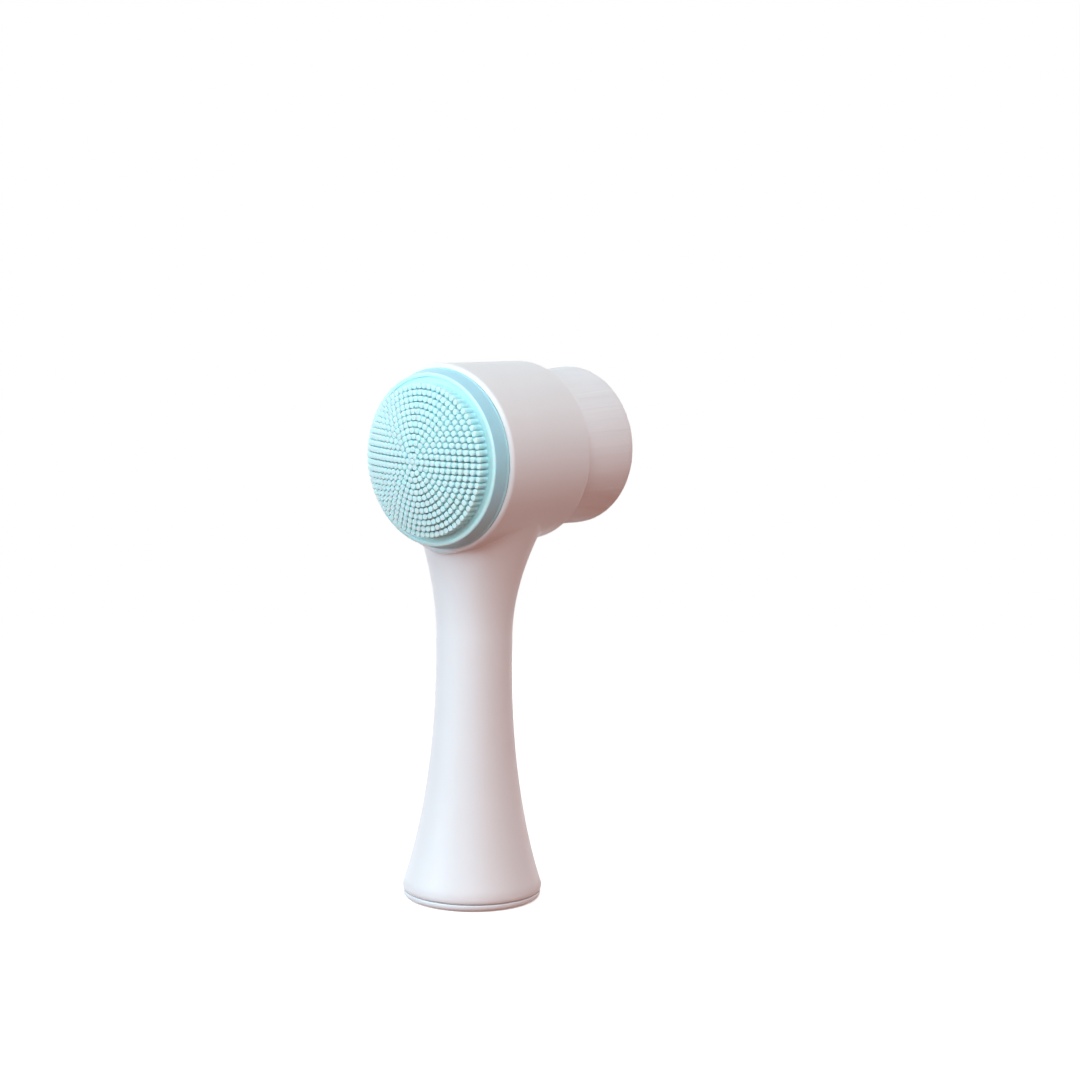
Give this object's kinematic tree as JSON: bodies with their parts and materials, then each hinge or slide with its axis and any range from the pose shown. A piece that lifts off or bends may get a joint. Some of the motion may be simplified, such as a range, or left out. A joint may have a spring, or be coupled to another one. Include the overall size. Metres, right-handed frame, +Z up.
{
  "type": "facial cleansing brush",
  "caption": "Manual two-sided facial brush: flared stand-up handle and a short barrel with a domed silicone scrubbing pad in front and a dense fine-fibre bundle behind.",
  "frame": {"origin": "centre of the flat underside of the foot, on the handle's axis", "axes": "+Z up along the handle to the barrel; the barrel's axis runs along Y, with the silicone pad facing -Y and the fibre bundle facing +Y; +X is the user's right when the pad faces the user"},
  "size_m": [0.0502, 0.0662, 0.1459],
  "materials": {
    "shell_plastic": "satin-gloss moulded ABS, faintly warm white",
    "cap_plastic": "satin moulded ABS, white",
    "silicone": "soft satin silicone, pale aqua",
    "cartridge_plastic": "plain moulded, natural white",
    "resin": "set resin, pale straw",
    "fibre": "dense fine white fibre, soft sheen"
  },
  "bodies": {
    "body": {"body_shell": "shell_plastic", "base_cap": "cap_plastic"},
    "pad_cartridge": {"silicone_pad": "silicone", "pad_carrier": "cartridge_plastic"},
    "fibre_cartridge": {"bristle_cup": "cartridge_plastic", "root_resin": "resin", "bristle_bundle": "fibre"}
  },
  "joints": [
    {"name": "pad_pull", "type": "slide", "parent": "body", "child": "pad_cartridge", "axis": [0, -1, 0], "range_m": [0, 0.022]},
    {"name": "bundle_pull", "type": "slide", "parent": "body", "child": "fibre_cartridge", "axis": [0, 1, 0], "range_m": [0, 0.026]}
  ]
}
